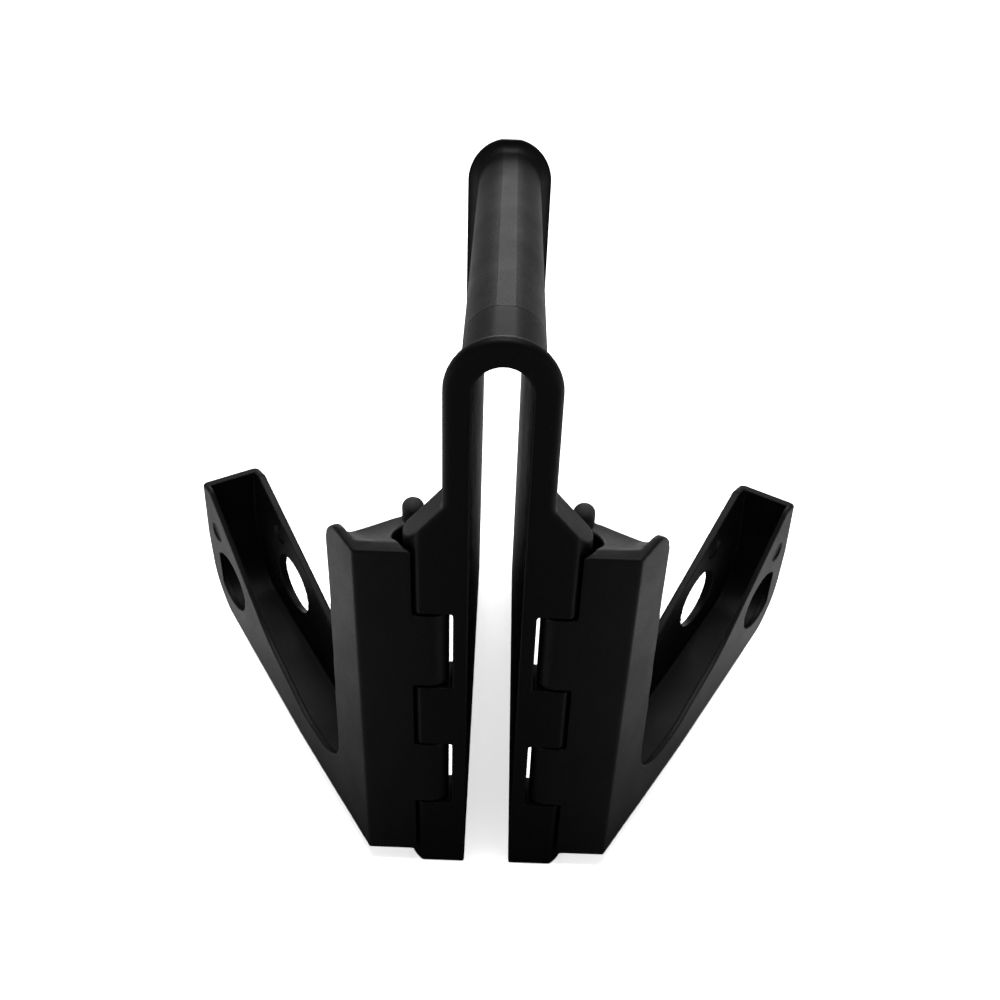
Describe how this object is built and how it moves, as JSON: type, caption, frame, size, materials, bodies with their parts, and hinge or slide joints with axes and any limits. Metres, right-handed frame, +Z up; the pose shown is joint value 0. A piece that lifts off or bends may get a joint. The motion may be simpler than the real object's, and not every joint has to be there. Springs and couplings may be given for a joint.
{
  "type": "bicycle wall rack",
  "caption": "Folding bicycle wall rack: an arched, slotted centre body with a hinged, J-shaped trough arm on each side, all in black moulded plastic.",
  "frame": {"origin": "on the floor plane under the middle of the part: Z = 0 is the bottom edge of the centre body, X = 0 is the plane of symmetry, and Y = 0 is halfway between the front face and the rear end", "axes": "+Z up, -Y out of the flat front face that lies on the wall, +Y along the centre body away from the wall, +X to the right when looking along +Y"},
  "size_m": [0.4246, 0.3, 0.3631],
  "materials": {
    "black_plastic": "fine-grain satin moulded plastic",
    "steel": "plated pins and black-oxide screws",
    "washer_plastic": "smooth black acetal"
  },
  "bodies": {
    "frame": {"front_frame": "black_plastic", "rear_channel": "black_plastic", "hinge_pin_left": "steel", "hinge_pin_right": "steel", "pin_plug_left": "black_plastic", "pin_plug_right": "black_plastic", "thrust_washer_left_lower": "washer_plastic", "thrust_washer_left_upper": "washer_plastic", "thrust_washer_right_lower": "washer_plastic", "thrust_washer_right_upper": "washer_plastic", "joint_screw_left_1": "steel", "joint_screw_left_2": "steel", "joint_screw_left_3": "steel", "joint_screw_left_4": "steel", "joint_screw_right_1": "steel", "joint_screw_right_2": "steel", "joint_screw_right_3": "steel", "joint_screw_right_4": "steel"},
    "arm_left": {"arm_left": "black_plastic", "top_peg_left": "black_plastic"},
    "arm_right": {"arm_right": "black_plastic", "top_peg_right": "black_plastic"}
  },
  "joints": [
    {"name": "fold_left", "type": "hinge", "parent": "frame", "child": "arm_left", "pos_m": [-0.0344, -0.138, 0], "axis": [0, 0, -1], "range_deg": [0, 31]},
    {"name": "fold_right", "type": "hinge", "parent": "frame", "child": "arm_right", "pos_m": [0.0344, -0.138, 0], "axis": [0, 0, 1], "range_deg": [0, 31]}
  ]
}
